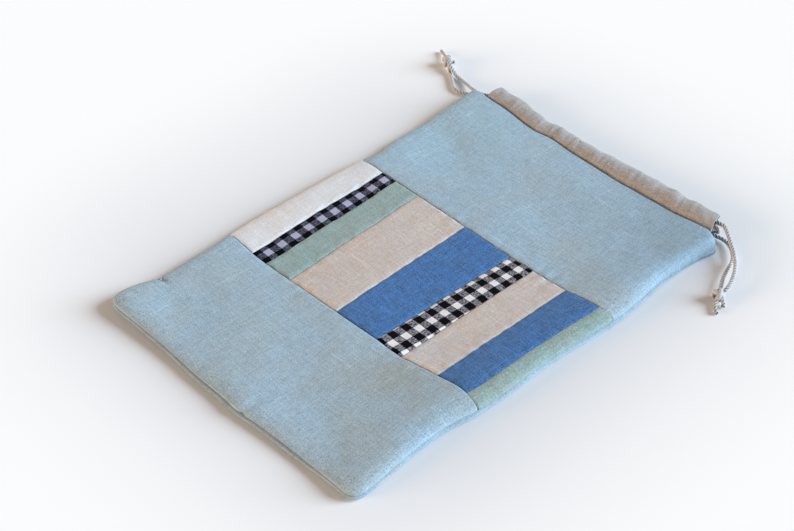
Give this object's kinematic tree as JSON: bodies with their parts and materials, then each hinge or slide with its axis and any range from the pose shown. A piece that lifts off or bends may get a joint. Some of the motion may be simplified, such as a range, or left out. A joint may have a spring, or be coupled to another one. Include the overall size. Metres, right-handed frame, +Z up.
{
  "type": "drawstring bag",
  "caption": "Flat lined linen bag with a patchwork band across the front and a casing at the mouth, closed by twine drawstrings that pull from both sides.",
  "frame": {"origin": "on the table under the middle of the bag and its casings, free cord ends left out", "axes": "+Y from the bottom seam to the mouth, +Z up from the table through the patchwork front, +X to the right side seam"},
  "size_m": [0.3616, 0.3916, 0.0136],
  "materials": {
    "light_blue_linen": "matte woven",
    "cream_linen": "matte woven",
    "dark_gingham": "matte woven",
    "sage_linen": "matte woven",
    "sand_linen": "matte woven",
    "mid_blue_linen": "matte woven",
    "white_gingham": "matte woven",
    "lining_linen": "matte woven",
    "natural_linen": "matte woven",
    "twine": "matte twisted"
  },
  "bodies": {
    "bag": {"front_lower_panel": "light_blue_linen", "front_upper_panel": "light_blue_linen", "back_panel": "light_blue_linen", "patch_cream": "cream_linen", "patch_dark_gingham": "dark_gingham", "patch_sage_wide": "sage_linen", "patch_sand_wide": "sand_linen", "patch_blue_wide": "mid_blue_linen", "patch_white_gingham": "white_gingham", "patch_sand_narrow": "sand_linen", "patch_blue_narrow": "mid_blue_linen", "patch_sage_narrow": "sage_linen", "lining_front": "lining_linen", "lining_back": "lining_linen", "casing_front": "natural_linen", "casing_back": "natural_linen"},
    "right_drawstring": {"right_cord_front_run": "twine", "right_cord_back_run": "twine", "right_cord_loop": "twine", "right_cord_front_end": "twine", "right_cord_back_end": "twine", "right_cord_knot": "twine", "right_cord_front_tail": "twine", "right_cord_back_tail": "twine"},
    "left_drawstring": {"left_cord_front_run": "twine", "left_cord_back_run": "twine", "left_cord_loop": "twine", "left_cord_front_end": "twine", "left_cord_back_end": "twine", "left_cord_knot": "twine", "left_cord_front_tail": "twine", "left_cord_back_tail": "twine"}
  },
  "joints": [
    {"name": "right_pull", "type": "slide", "parent": "bag", "child": "right_drawstring", "axis": [1, 0, 0], "range_m": [0, 0.07], "deforming": ["casing_front", "casing_back"]},
    {"name": "left_pull", "type": "slide", "parent": "bag", "child": "left_drawstring", "axis": [-1, 0, 0], "range_m": [0, 0.07], "deforming": ["casing_front", "casing_back"]}
  ]
}
